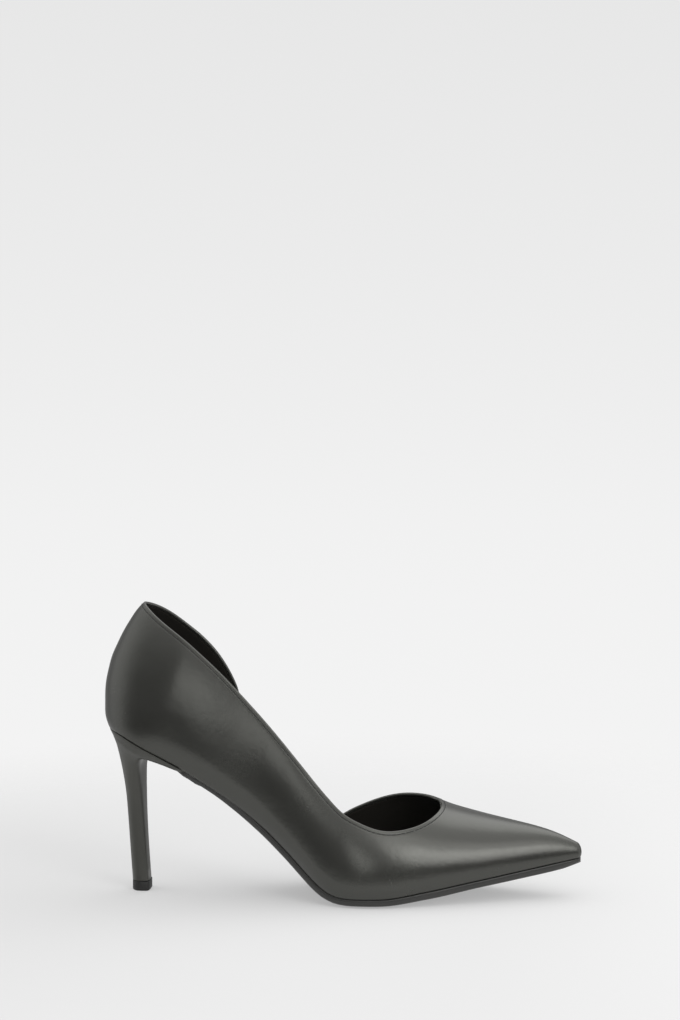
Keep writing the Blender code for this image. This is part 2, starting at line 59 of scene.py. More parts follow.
# Bottom line of the last, from the back of the heel seat to the toe
Bottom = namedtuple("Bottom", "along height")
BOTTOM_LINE = (
    Bottom(0, 83.6),
    Bottom(9, 80.9),
    Bottom(20.5, 75.4),
    Bottom(32.4, 69.5),
    Bottom(48, 60.5),
    Bottom(64, 49.9),
    Bottom(80, 37.3),
    Bottom(92.6, 25.6),
    Bottom(103.5, 14.9),
    Bottom(109, 9.9),
    Bottom(114.5, 6.4),
    Bottom(120, 4.7),
    Bottom(126, 4.3),
    Bottom(140, 4.3),
    Bottom(162, 7.0),
    Bottom(187, 11.1),
    Bottom(212, 15.2),
    Bottom(238.5, 19.5),
)

# Upright sections of the last: half widths, tuck under the feather edge, height of the widest line above
# the bottom, height of the crown above the floor, and the ridge's place across
Section = namedtuple("Section", "along lateral medial tuck girdle crown ridge")
SECTIONS = (
    Section(0, 25.2, 26, 1.9, 13, 168, 0),
    Section(27, 25.2, 26, 1.9, 13, 155, 0),
    Section(50, 26.2, 25, 4.0, 14, 147, 1),
    Section(75, 26, 24, 5.0, 14, 135, 2),
    Section(100, 31, 28, 4.5, 13, 98, 3),
    Section(125, 37.5, 35, 2.2, 8.5, 70, 5),
    Section(150, 34.5, 36, 2.0, 9, 54, 6),
    Section(160, 31, 34, 1.9, 8.5, 49.8, 6.4),
    Section(170, 27, 31, 1.7, 8, 45.55, 6.5),
    Section(180, 23, 27.7, 1.6, 7.3, 42.6, 6.4),
    Section(190, 19, 24, 1.4, 6.5, 40.2, 6.0),
    Section(210, 10.3, 17.0, 1.0, 5, 35.9, 5.0),
    Section(225, 3.7, 11.4, 0.8, 3.8, 31.7, 4.3),
    Section(235.6, -1.0, 7.4, 0.8, 2.8, 26.9, 4.2),
)
GIRDLE_SHARE = 0.12

# Back of the counter: how far forward it lies at each height above the heel seat
Back = namedtuple("Back", "rise along")
BACK_CURVE = (
    Back(0, 1.6),
    Back(5, -0.1),
    Back(11, -0.4),
    Back(17, -0.35),
    Back(23, 0.2),
    Back(29.5, 1.6),
    Back(35.6, 3.3),
    Back(41.7, 6.0),
    Back(48, 9.1),
    Back(54, 12.7),
    Back(59.5, 16.6),
    Back(62.4, 19.4),
)
COLLAR_HEIGHT = 145.8

# Collar round the back, from its highest point to where the two sides part
Collar = namedtuple("Collar", "along height")
LATERAL_COLLAR = (
    Collar(19.4, 145.8),
    Collar(26, 140.5),
    Collar(32, 136.2),
    Collar(38.5, 131.8),
    Collar(45, 127.0),
)
MEDIAL_COLLAR = (
    Collar(19.4, 145.8),
    Collar(26, 142.6),
    Collar(32, 138.6),
    Collar(38.5, 133.3),
    Collar(45, 127.8),
)

# Toplines: each row is a line up the wall, from its foot on the feather edge to its top
Topline = namedtuple("Topline", "foot along height")
LATERAL_TOPLINE = (
    Topline(27, 45, 127.0),
    Topline(38, 54, 119.2),
    Topline(54, 68, 105.6),
    Topline(70, 81, 91.7),
    Topline(86, 95, 75.7),
    Topline(98, 105, 63.9),
    Topline(109, 115, 52.7),
    Topline(118, 122, 46.2),
    Topline(127, 130, 41.8),
    Topline(136, 138, 38.7),
    Topline(145, 146, 37.6),
    Topline(153, 154, 38.4),
    Topline(160, 161.6, 40.6),
    Topline(164.5, 165.8, 42.9),
    Topline(169, 168.1, 45.1),
    Topline(171.5, 168.0, 46.05),
    Topline(174, 167.0, 47.0),
)
MEDIAL_COUNTER = (
    Topline(27, 45, 127.8),
    Topline(35, 51.4, 121.2),
    Topline(43, 56.6, 114.1),
    Topline(51, 60.5, 107.2),
    Topline(58, 63.0, 101.6),
    Topline(64, 64.3, 97.2),
    Topline(69, 64.7, 93.0),
)
MEDIAL_VAMP = (
    Topline(97.5, 96, 26.5),
    Topline(100.5, 99, 26.4),
    Topline(105, 104, 27.6),
    Topline(110.5, 110, 30.3),
    Topline(117, 117.4, 34.8),
    Topline(125, 125, 38.7),
    Topline(135, 135, 43.0),
    Topline(148, 148, 46.8),
    Topline(154, 154, 47.5),
    Topline(160.5, 159.5, 47.6),
    Topline(167.5, 164.2, 47.27),
    Topline(171.5, 166.2, 46.99),
    Topline(174, 167.0, 47.0),
)
HEEL_PIVOT = 27.0
NOSE = 235.6
NOSE_ANGLE = math.radians(22.0)
THROAT_FOOT = LATERAL_TOPLINE[-1].foot
THROAT_LEAN = THROAT_FOOT - LATERAL_TOPLINE[-1].along
THROAT_BEND = 3
THROAT_START = 150.0
THROAT_NEAR = 162.0
PROBE = 1.0
BISECTIONS = 40

# Rows of the wall: close together by the folded edge, then even down to the feather edge
EDGE_ROWS = (0.0, 0.12, 0.32, 0.6, 0.95, 1.3, 1.6, 1.85, 2.05, 2.25, 2.5, 2.9, 3.4, 3.9, 4.4, 5.0)
FOOT_ROWS = (1.6, 1.0, 0.6, 0.3, 0.1, 0.0)
WALL_ROWS = 26
LINE_SAMPLES = 90
COLUMN_STEP = 2.4
THROAT_STEP = 1.0
THROAT_FINE_STEP = 0.25
HEEL_COLUMNS = 40
NOSE_COLUMNS = 10

# Folded edge: distance from the edge, and half the wall's thickness there
Fold = namedtuple("Fold", "depth half")
FOLD = (
    Fold(0.0, 0.0),
    Fold(0.12, 0.48),
    Fold(0.32, 0.72),
    Fold(0.6, 0.88),
    Fold(0.95, 0.96),
    Fold(1.3, 0.96),
    Fold(1.6, 0.90),
    Fold(1.85, 0.78),
    Fold(2.05, 0.70),
    Fold(2.25, 0.72),
    Fold(2.5, 0.78),
    Fold(2.9, 0.83),
    Fold(3.4, 0.86),
    Fold(3.9, 0.85),
    Fold(4.4, 0.81),
    Fold(5.0, 0.80),
)
FOOT_FOLD = (
    Fold(0.0, 0.45),
    Fold(0.1, 0.62),
    Fold(0.3, 0.72),
    Fold(0.6, 0.78),
    Fold(1.0, 0.80),
)
WALL_HALF = 0.8
FOLD_HALF = 1.0
FACING_DEPTH = 1.75
OUTER_SIDE = -20.0

# Top corner of the counter's inner end: how far round it the mesh is evened out, and how often
CORNER_REACH = 2.6
CORNER_PASSES = 25
CORNER_EASE = 0.5

# Names of the distances that are kept on the upper's mesh
EDGE_DEPTH = "from_edge"
FOOT_RISE = "from_foot"

# Stitching beside the folded edge
STITCH_DEPTH = 2.05
STITCH_PITCH = 2.5
STITCH_LENGTH = 1.9
STITCH_WIDTH = 0.34
STITCH_SINK = 0.02
STITCH_PATH_STEP = 0.5
STITCH_MARGIN = 1.0
STITCH_SLACK = 0.12
STITCH_SEGMENTS = 8
STITCH_RINGS = 6
STITCH_NEIGHBOURS = 3

# Outsole, in metres: how far it is brought up, as the heel's seat is too, and the round of its top edge,
# which ends near the toe
SOLE_RAISE = 0.0003
SOLE_ROUND = 0.0005
SOLE_ROUND_STEPS = 4
SOLE_ROUND_END = 0.1145

# Outsole by the tips of the heel's wings, in metres: how far its underside is brought down there, and how
# much its neck is widened to close the gaps beside it
SOLE_FILL = 0.0009
SOLE_FILL_FROM = -0.0805
SOLE_FILL_TO = -0.07
SOLE_NECK_FROM = -0.0765
SOLE_NECK_TO = -0.0745
SOLE_NECK_WIDEN = 1.15
UPWARD = 0.5

# Small rounds of the sock and the tip: which edges count as sharp, the round in metres and its steps
Round = namedtuple("Round", "sharpness width steps")
SOCK_ROUND = Round(math.radians(50), 0.0006, 3)
LIFT_ROUND = Round(math.radians(30), 0.00015, 2)
SMOOTH_ANGLE = math.radians(40)

# Merging of points: on the last in millimetres, on meshes in metres
MERGE = 0.01
COPY_MERGE = 0.00001
FOLD_MERGE = 0.000003
QUAD_ANGLE = math.radians(60)
FINE_STEP = 0.0001

# Finishes: the darkest and lightest colour of each
Shade = namedtuple("Shade", "dark light")
LEATHER = Shade((0.018, 0.018, 0.0162, 1.0), (0.030, 0.030, 0.027, 1.0))
# The heel's leather is paler than the upper's: partly its own warmer grey, partly painted light for the
# floor's reflection
HEEL_LEATHER = Shade((0.020, 0.0197, 0.0175, 1.0), (0.033, 0.032, 0.028, 1.0))
LINING = Shade((0.007, 0.0061, 0.0046, 1.0), (0.021, 0.0185, 0.0145, 1.0))
SOCK = Shade((0.004, 0.004, 0.0035, 1.0), (0.008, 0.0075, 0.007, 1.0))
SOLE_RUBBER = Shade((0.030, 0.030, 0.028, 1.0), (0.044, 0.044, 0.041, 1.0))
LIFT_RUBBER = Shade((0.009, 0.009, 0.009, 1.0), (0.018, 0.018, 0.017, 1.0))
THREAD = Shade((0.008, 0.008, 0.008, 1.0), (0.03, 0.03, 0.028, 1.0))
LEATHER_ROUGH = 0.245
HEEL_ROUGH = 0.44
SOLE_ROUGH = 0.26
SOLE_GRAIN = 1600.0
LIFT_ROUGH = 0.5
LIFT_GRAIN = 2100.0

# Grain of the leather: the scale of each layer, and its height in metres
CLOUD_SCALE = 38.0
Layer = namedtuple("Layer", "scale height")
SWELL = Layer(90.0, 0.00015)
MOTTLE = Layer(620.0, 0.00004)
PEBBLE = Layer(1350.0, 0.00001)
PORES = Layer(2600.0, 0.000004)

# Marks on the leather and lining, in millimetres from the folded edge or up from its foot: where each begins,
# is full, starts to fade and is gone, and its colour. Each is painted light: shade in the stitch groove, a
# highlight on the lining's turned edge, and a highlight along the foot, which fades out along the counter, in
# metres
Band = namedtuple("Band", "start full fade gone")
GROOVE_SHADE_BAND = Band(1.6, 2.0, 2.1, 2.6)
GROOVE_SHADE_COLOUR = (0.004, 0.004, 0.004, 1.0)
TURN_HIGHLIGHT_BAND = Band(1.75, 1.9, 2.3, 2.6)
TURN_HIGHLIGHT_COLOUR = (0.03, 0.027, 0.022, 1.0)
FOOT_HIGHLIGHT_BAND = Band(0.05, 0.25, 0.7, 0.95)
FOOT_HIGHLIGHT_COLOUR = (0.07, 0.07, 0.065, 1.0)
FOOT_HIGHLIGHT_FADES = -0.075
FOOT_HIGHLIGHT_GONE = -0.03
# Painted highlight along the folded edge: full up to the first depth, gone at the second, and how much paler
# it is
EDGE_HIGHLIGHT_FULL = 0.4
EDGE_HIGHLIGHT_GONE = 1.3
EDGE_HIGHLIGHT_PALER = 1.8

# Studio: the table's radius and how softly it ends, in metres, how flat a ray that isn't the camera's has to
# be to pass through it, and its own tone
TABLE_SOLID = 0.15
TABLE_GONE = 0.48
TABLE_SIDES = 96
GLANCE_FROM = 0.68
GLANCE_FULL = 0.9
TABLE_ALBEDO = 0.42
TABLE_UNEVEN = 1.01

# Glow of the table, painted light that lifts its shadows and gains towards the toe: its least, and where
# along the shoe each gain lies
TABLE_GLOW = 0.262
Gain = namedtuple("Gain", "start end amount")
HEEL_GAIN = Gain(-0.35, 0.02, 0.1)
TOE_GAIN = Gain(0.06, 0.2, 0.05)

# Camera, in metres and degrees: a long lens a little above the shoe
CAMERA_SENSOR = 36.0
CAMERA_LENS = 105.88
CAMERA_PLACE = (0.1342, -1.4683, 0.3359)
CAMERA_DOWN = 5.5652
CAMERA_TURN = 5.2668

# Tone of the backdrop over the height of the line of sight
Tone = namedtuple("Tone", "height tone")
BACKDROP = (
    Tone(-0.27, 0.865),
    Tone(-0.21, 0.885),
    Tone(-0.175, 0.897),
    Tone(-0.126, 0.888),
    Tone(-0.100, 0.880),
    Tone(-0.059, 0.855),
    Tone(-0.010, 0.831),
    Tone(0.075, 0.800),
)

# Light from round the room, over the height of its direction: at the sides, in front with the dark gap
# between the table's edge and the soft boxes, and at the back, with how far across each of these begins
SIDE_LIGHT = (
    Tone(-1.0, 0.5),
    Tone(-0.1, 0.75),
    Tone(0.1, 0.95),
    Tone(0.5, 1.05),
    Tone(1.0, 1.3),
)
FRONT_LIGHT = (
    Tone(-1.0, 0.85),
    Tone(-0.5, 0.8),
    Tone(-0.342, 0.6),
    Tone(-0.24, 0.3),
    Tone(-0.174, 0.1),
    Tone(-0.1, 0.01),
    Tone(-0.03, 0.02),
    Tone(0.0, 0.14),
    Tone(0.05, 0.25),
    Tone(0.2, 0.18),
    Tone(0.35, 0.22),
    Tone(0.5, 0.5),
    Tone(1.0, 1.2),
)
FRONT_FROM = 0.1
FRONT_FULL = 0.65
BACK_LIGHT = (
    Tone(-1.0, 0.4),
    Tone(0.0, 0.35),
    Tone(0.5, 0.45),
    Tone(0.7, 0.9),
    Tone(0.85, 1.2),
    Tone(1.0, 1.3),
)
BACK_FROM = 0.15
BACK_FULL = 0.6

# Soft boxes, in degrees: to the right of the lens and up, how far round they are even and where they have
# faded out, and their brightness against a white card
SoftBox = namedtuple("SoftBox", "turn up even gone radiance")
SOFT_BOXES = (
    SoftBox(41, 20, 2, 18, 3.3),
    SoftBox(41, 37, 6, 20, 1.3),
    SoftBox(0, 9, 3, 13, 1.5),
    SoftBox(10, 25, 8, 24, 0.3),
    SoftBox(150, 56, 8, 30, 1.0),
)


def smooth_curve(keys, values):
    """Natural cubic spline through a table's column."""
    keys = np.array(keys, dtype=float)
    values = np.array(values, dtype=float)
    count = len(keys)
    steps = np.diff(keys)
    slopes = np.diff(values) / steps
    matrix = np.eye(count)
    target = np.zeros(count)
    for row in range(1, count - 1):
        matrix[row, row - 1:row + 2] = steps[row - 1], 2 * (steps[row - 1] + steps[row]), steps[row]
        target[row] = 6 * (slopes[row] - slopes[row - 1])
    bend = np.linalg.solve(matrix, target)

    def value_at(key):
        span = int(np.clip(np.searchsorted(keys, key) - 1, 0, count - 2))
        left = (keys[span + 1] - key) / steps[span]
        right = 1 - left
        curve = (left ** 3 - left) * bend[span] + (right ** 3 - right) * bend[span + 1]
        return float(left * values[span] + right * values[span + 1] + curve * steps[span] ** 2 / 6)

    return value_at


def flat_curve(keys, values):
    """Cubic curve through a table's column that never overshoots, so level runs stay level."""
    keys = np.array(keys, dtype=float)
    values = np.array(values, dtype=float)
    steps = np.diff(keys)
    slopes = np.diff(values) / steps
    tangents = np.concatenate(([slopes[0]], np.zeros(len(slopes) - 1), [slopes[-1]]))
    for row in range(1, len(slopes)):
        before, after = slopes[row - 1], slopes[row]
        if before * after > 0:
            near, far = 2 * steps[row] + steps[row - 1], steps[row] + 2 * steps[row - 1]
            tangents[row] = (near + far) / (near / before + far / after)

    def value_at(key):
        key = min(max(key, keys[0]), keys[-1])
        span = int(np.clip(np.searchsorted(keys, key) - 1, 0, len(steps) - 1))
        step = steps[span]
        part = (key - keys[span]) / step
        rest = 1 - part
        start = rest * rest * (values[span] * (1 + 2 * part) + tangents[span] * step * part)
        end = part * part * (values[span + 1] * (1 + 2 * rest) - tangents[span + 1] * step * rest)
        return float(start + end)

    return value_at


def table_curve(table, key, name, make=smooth_curve):
    """A named column of a table as a curve over its key column."""
    return make([getattr(row, key) for row in table], [getattr(row, name) for row in table])


bottom_height = table_curve(BOTTOM_LINE, "along", "height", flat_curve)
half_width = {
    LATERAL: table_curve(SECTIONS, "along", "lateral"),
    MEDIAL: table_curve(SECTIONS, "along", "medial"),
}
tuck_width = table_curve(SECTIONS, "along", "tuck")
girdle_rise = table_curve(SECTIONS, "along", "girdle")
crown_height = table_curve(SECTIONS, "along", "crown")
ridge_across = table_curve(SECTIONS, "along", "ridge")
back_along = table_curve(BACK_CURVE, "rise", "along")
collar_height = {
    LATERAL: table_curve(LATERAL_COLLAR, "along", "height"),
    MEDIAL: table_curve(MEDIAL_COLLAR, "along", "height"),
}


def section_point(along, side, up):
    """A point on the last: up is 0 on the feather edge, GIRDLE_SHARE at the widest and 1 on the ridge."""
    half = half_width[side](along)
    girdle = bottom_height(along) + girdle_rise(along)
    if up < GIRDLE_SHARE:
        below = 1 - up / GIRDLE_SHARE
        across = side * (half - tuck_width(along) * below ** 2)
        return np.array((along, across, girdle - girdle_rise(along) * below))
    turn = (up - GIRDLE_SHARE) / (1 - GIRDLE_SHARE) * math.pi / 2
    ridge = ridge_across(along)
    across = ridge + (side * half - ridge) * math.cos(turn)
    return np.array((along, across, girdle + (crown_height(along) - girdle) * math.sin(turn)))


def topline_share(along, side, height):
    """How far up the section at this place the wall reaches the given height."""
    low, high = 0.0, 1.0
    for _ in range(BISECTIONS):
        middle = (low + high) / 2
        if section_point(along, side, middle)[2] < height:
            low = middle
        else:
            high = middle
    return low


@lru_cache(maxsize=None)
def topline_curves(table, side):
    """Where the topline lies along the foot and up the section, over the foot of each wall line."""
    feet = [row.foot for row in table]
    shares = [topline_share(row.along, side, row.height) for row in table]
    return smooth_curve(feet, [row.along for row in table]), smooth_curve(feet, shares)


def wall_line(table, side, foot):
    """The line up the wall from a foot on the feather edge, as a function of its share from 0 to 1."""
    if foot >= THROAT_FOOT:
        lean = THROAT_LEAN * (NOSE - foot) / (NOSE - THROAT_FOOT)
        return lambda share: section_point(foot - lean * share ** THROAT_BEND, side, share)
    topline_along, topline_up = topline_curves(table, side)
    along, top = topline_along(foot), topline_up(foot)
    near = max(0.0, (foot - THROAT_START) / (THROAT_FOOT - THROAT_START))
    bend = 1 + (THROAT_BEND - 1) * near ** 2
    return lambda share: section_point(foot + (along - foot) * share ** bend, side, top * share)


def heel_line(turn):
    """A line up the round of the heel: turn is 0 at the lateral pivot and pi at the medial one."""
    side = LATERAL if math.cos(turn) >= 0 else MEDIAL
    table = LATERAL_TOPLINE if side == LATERAL else MEDIAL_COUNTER
    pivot_line = wall_line(table, side, HEEL_PIVOT)
    next_line = wall_line(table, side, HEEL_PIVOT + PROBE)
    foot, top = pivot_line(0)[2], pivot_line(1)[2]
    rise_at_back = COLLAR_HEIGHT - bottom_height(back_along(0))
    forward = 1 - math.sin(turn)

    def along_at(share):
        pivot = pivot_line(share)
        climb = (pivot[2] - foot) / (top - foot)
        back = back_along(climb * rise_at_back)
        return back + (pivot[0] - back) * forward

    line_foot = bottom_height(along_at(0))
    line_top = collar_height[side](along_at(1))

    def point(share):
        pivot = pivot_line(share)
        ahead = next_line(share)
        climb = (pivot[2] - foot) / (top - foot)
        along = along_at(share)
        taper = (ahead[1] - pivot[1]) / (ahead[0] - pivot[0])
        across = (pivot[1] + taper * (along - pivot[0])) * abs(math.cos(turn))
        return np.array((along, across, line_foot + climb * (line_top - line_foot)))

    return point


def nose_line(turn):
    """A line up the round tip of the toe, from the lateral side round to the medial one."""

    def point(share):
        lateral = section_point(NOSE, LATERAL, share)
        medial = section_point(NOSE, MEDIAL, share)
        behind = section_point(NOSE - PROBE, LATERAL, share)
        radius = (medial[1] - lateral[1]) / 2 / math.cos(NOSE_ANGLE)
        middle = (medial[1] + lateral[1]) / 2
        ahead = radius * (math.sin(turn) - math.sin(NOSE_ANGLE))
        height = lateral[2] + (lateral[2] - behind[2]) / PROBE * ahead
        return np.array((NOSE + ahead, middle - radius * math.cos(turn), height))

    return point


def spread(start, end, step):
    """Evenly spaced places from start to end, both included."""
    count = max(1, round(abs(end - start) / step))
    return [start + (end - start) * index / count for index in range(count + 1)]


def upper_lines():
    """The wall's lines in order, and which of them reach the topline."""
    counter_end = MEDIAL_COUNTER[-1].foot
    vamp_end = MEDIAL_VAMP[0].foot
    edge = EDGE_ROWS[-1]
    counter = [counter_end - row for row in EDGE_ROWS]
    counter += spread(counter_end - edge, HEEL_PIVOT, COLUMN_STEP)[1:]
    heel = spread(math.pi, 0, math.pi / HEEL_COLUMNS)[1:-1]
    throat = spread(THROAT_START, THROAT_NEAR, THROAT_STEP)[:-1]
    throat += spread(THROAT_NEAR, THROAT_FOOT, THROAT_FINE_STEP)
    side = spread(HEEL_PIVOT, THROAT_START, COLUMN_STEP)[:-1] + throat
    vamp = [THROAT_FOOT + row for row in EDGE_ROWS[1:]]
    vamp += spread(THROAT_FOOT + edge, NOSE, COLUMN_STEP)[1:]
    nose = spread(NOSE_ANGLE, math.pi - NOSE_ANGLE, (math.pi - 2 * NOSE_ANGLE) / NOSE_COLUMNS)[1:-1]
    inner = throat[::-1] + spread(THROAT_START, vamp_end + edge, COLUMN_STEP)[1:]
    inner += [vamp_end + row for row in EDGE_ROWS[-2::-1]]
    lines = [(wall_line(MEDIAL_COUNTER, MEDIAL, foot), True) for foot in counter]
    lines += [(heel_line(turn), True) for turn in heel]
    lines += [(wall_line(LATERAL_TOPLINE, LATERAL, foot), True) for foot in side]
    lines += [(wall_line(LATERAL_TOPLINE, LATERAL, foot), False) for foot in vamp]
    lines += [(nose_line(turn), False) for turn in nose]
    lines += [(wall_line(MEDIAL_VAMP, MEDIAL, foot), False) for foot in vamp[::-1]]
    lines += [(wall_line(MEDIAL_VAMP, MEDIAL, foot), True) for foot in inner]
    return lines


def feather_edge():
    """The foot of the wall."""
    return packed([line(0.0) for line, _ in upper_lines()])


def packed(points):
    """Points of the last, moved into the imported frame."""
    return (np.asarray(points) + (LAST_BACK, LAST_MIDDLE, 0.0)) * MM


def wall_points():
    """The outer wall as columns of points, each counted from the topline down to the feather edge."""
    columns = []
    for line, _ in upper_lines():
        samples = np.array([line(share) for share in np.linspace(1, 0, LINE_SAMPLES)])
        lengths = np.concatenate(([0], np.cumsum(np.linalg.norm(np.diff(samples, axis=0), axis=1))))
        even = np.linspace(EDGE_ROWS[-1], lengths[-1] - FOOT_ROWS[0], WALL_ROWS + 1)
        depths = [*EDGE_ROWS, *even[1:], *(lengths[-1] - row for row in FOOT_ROWS[1:])]
        columns.append(np.column_stack([np.interp(depths, lengths, samples[:, axis]) for axis in range(3)]))
    return packed(columns)


def folded_edge():
    """The edge that is folded over: up the counter's end, round the topline, and down the vamp's end."""
    counter_end = wall_line(MEDIAL_COUNTER, MEDIAL, MEDIAL_COUNTER[-1].foot)
    vamp_end = wall_line(MEDIAL_VAMP, MEDIAL, MEDIAL_VAMP[0].foot)
    shares = np.linspace(0, 1, LINE_SAMPLES)
    points = [counter_end(share) for share in shares]
    points += [line(1.0) for line, on_topline in upper_lines() if on_topline]
    points += [vamp_end(share) for share in shares[::-1]]
    kept = [points[0]]
    for point in points[1:]:
        if np.linalg.norm(point - kept[-1]) > MERGE:
            kept.append(point)
    return packed(kept)


# Modelling helpers

def select_only(piece):
    """Leave one object selected and active."""
    bpy.ops.object.select_all(action="DESELECT")
    piece.select_set(True)
    bpy.context.view_layer.objects.active = piece


def edit(piece):
    """Open a piece in edit mode with everything selected."""
    select_only(piece)
    bpy.ops.object.mode_set(mode="EDIT")
    bpy.ops.mesh.select_all(action="SELECT")


def close_edit():
    bpy.ops.object.mode_set(mode="OBJECT")


def apply_modifier(piece, modifier):
    select_only(piece)
    bpy.ops.object.modifier_apply(modifier=modifier.name)


def merge_points(piece, distance):
    edit(piece)
    bpy.ops.mesh.remove_doubles(threshold=distance)
    close_edit()


def solid_copy(node, name):
    """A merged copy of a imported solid, in quads where its triangles pair up."""
    piece = bpy.data.objects.new(name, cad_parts[node].data.copy())
    bpy.context.scene.collection.objects.link(piece)
    piece.data.materials.clear()
    edit(piece)
    bpy.ops.mesh.remove_doubles(threshold=COPY_MERGE)
    bpy.ops.mesh.tris_convert_to_quads(face_threshold=QUAD_ANGLE, shape_threshold=QUAD_ANGLE)
    close_edit()
    return piece


def round_sharp_edges(piece, rounding):
    """Round the edges of a piece that turn by more than the given angle."""
    edit(piece)
    bpy.ops.mesh.select_all(action="DESELECT")
    bpy.ops.mesh.select_mode(type="EDGE")
    bpy.ops.mesh.edges_select_sharp(sharpness=rounding.sharpness)
    bpy.ops.mesh.bevel(offset=rounding.width, segments=rounding.steps, affect="EDGES", clamp_overlap=True)
    close_edit()


def edit_faces(piece, wanted):
    """Open a piece in edit mode with the wanted faces selected."""
    edit(piece)
    bpy.ops.mesh.select_mode(type="FACE")
    bpy.ops.mesh.select_all(action="DESELECT")
    close_edit()
    for face in piece.data.polygons:
        face.select = wanted(face)
    bpy.ops.object.mode_set(mode="EDIT")


def smooth_points(piece, centre, reach, passes):
    """Even out the points of a piece that lie close to a place."""
    edit(piece)
    bpy.ops.mesh.select_mode(type="VERT")
    bpy.ops.mesh.select_all(action="DESELECT")
    close_edit()
    for vertex in piece.data.vertices:
        vertex.select = (vertex.co - centre).length < reach
    bpy.ops.object.mode_set(mode="EDIT")
    bpy.ops.mesh.vertices_smooth(factor=CORNER_EASE, repeat=passes)
    close_edit()


def raise_top(piece, rise):
    """Move the faces that look up."""
    edit_faces(piece, lambda face: face.normal.z > UPWARD)
    bpy.ops.transform.translate(value=(0.0, 0.0, rise))
    close_edit()


def smooth_by_angle(piece):
    select_only(piece)
    bpy.ops.object.shade_smooth_by_angle(angle=SMOOTH_ANGLE)


# Materials

class Wire:
    """A socket of a material's node, with arithmetic that adds Math nodes."""

    def __init__(self, finish, socket):
        self.finish = finish
        self.socket = socket

    def maths(self, operation, first, second):
        return self.finish.node("Math", {"operation": operation}, {0: first, 1: second})

    def __add__(self, other):
        return self.maths("ADD", self, other)

    def __radd__(self, other):
        return self.maths("ADD", other, self)

    def __sub__(self, other):
        return self.maths("SUBTRACT", self, other)

    def __rsub__(self, other):
        return self.maths("SUBTRACT", other, self)

    def __mul__(self, other):
        return self.maths("MULTIPLY", self, other)

    def __rmul__(self, other):
        return self.maths("MULTIPLY", other, self)


class Graph:
    """A tree of shader nodes under construction."""

    def __init__(self, tree):
        self.tree = tree

    def node(self, kind, settings=None, inputs=None, output=0):
        """A node of any kind: its settings are set first, then its sockets' values or links."""
        node = self.tree.nodes.new("ShaderNode" + kind)
        for name, value in (settings or {}).items():
            if name == "stops":
                self.set_stops(node.color_ramp, value)
            else:
                setattr(node, name, value)
        for name, value in (inputs or {}).items():
            self.join(node.inputs[name], value)
        return Wire(self, node.outputs[output])

    def set_stops(self, ramp, stops):
        while len(ramp.elements) < len(stops):
            ramp.elements.new(1.0)
        for element, (place, colour) in zip(ramp.elements, stops):
            element.position = place
            element.color = colour

    def join(self, socket, value):
        if isinstance(value, Wire):
            self.tree.links.new(value.socket, socket)
        else:
            socket.default_value = value

    def ramp(self, value, low, high):
        """The value eased from 0 at low to 1 at high."""
        settings = {"interpolation_type": "SMOOTHSTEP"}
        return self.node("MapRange", settings, {"Value": value, "From Min": low, "From Max": high})

    def band(self, value, band):
        """1 inside a band of values, eased to 0 on both sides."""
        return self.ramp(value, band.start, band.full) * (1 - self.ramp(value, band.fade, band.gone))

    def blend(self, factor, first, second):
        """A colour between two colours."""
        return self.node("Mix", {"data_type": "RGBA"}, {0: factor, 6: first, 7: second}, output=2)

    def tones(self, height, table):
        """A grey from a table of tones over height."""
        low, high = table[0].height, table[-1].height
        stops = [((row.height - low) / (high - low), (row.tone, row.tone, row.tone, 1.0)) for row in table]
        share = self.node("MapRange", {}, {"Value": height, "From Min": low, "From Max": high})
        return self.node("ValToRGB", {"stops": stops}, {0: share})


class Finish(Graph):
    """A material under construction."""

    def __init__(self, name, **constants):
        self.material = bpy.data.materials.new(name)
        self.material.use_nodes = True
        super().__init__(self.material.node_tree)
        self.shader = self.tree.nodes["Principled BSDF"]
        for socket, value in constants.items():
            self.shader.inputs[socket.replace("_", " ")].default_value = value
        self.place = self.node("TexCoord", output="Object")

    def feed(self, socket, value):
        self.join(self.shader.inputs[socket], value)

    def attribute(self, name):
        """A number that is kept on the mesh."""
        return self.node("Attribute", {"attribute_name": name}, output="Fac")

    def noise(self, scale, detail=2.0, roughness=0.5):
        """Fractal noise over the object, from 0 to 1."""
        return self.node("TexNoise", {}, {"Vector": self.place, "Scale": scale, "Detail": detail,
                                          "Roughness": roughness})

    def pebble(self, scale, smoothness):
        """Round cells over the object."""
        return self.node("TexVoronoi", {"feature": "SMOOTH_F1"}, {"Vector": self.place, "Scale": scale,
                                                                 "Smoothness": smoothness})

    def bump(self, height, distance, strength):
        """A bump from a height field."""
        return self.node("Bump", {}, {"Height": height, "Distance": distance, "Strength": strength})


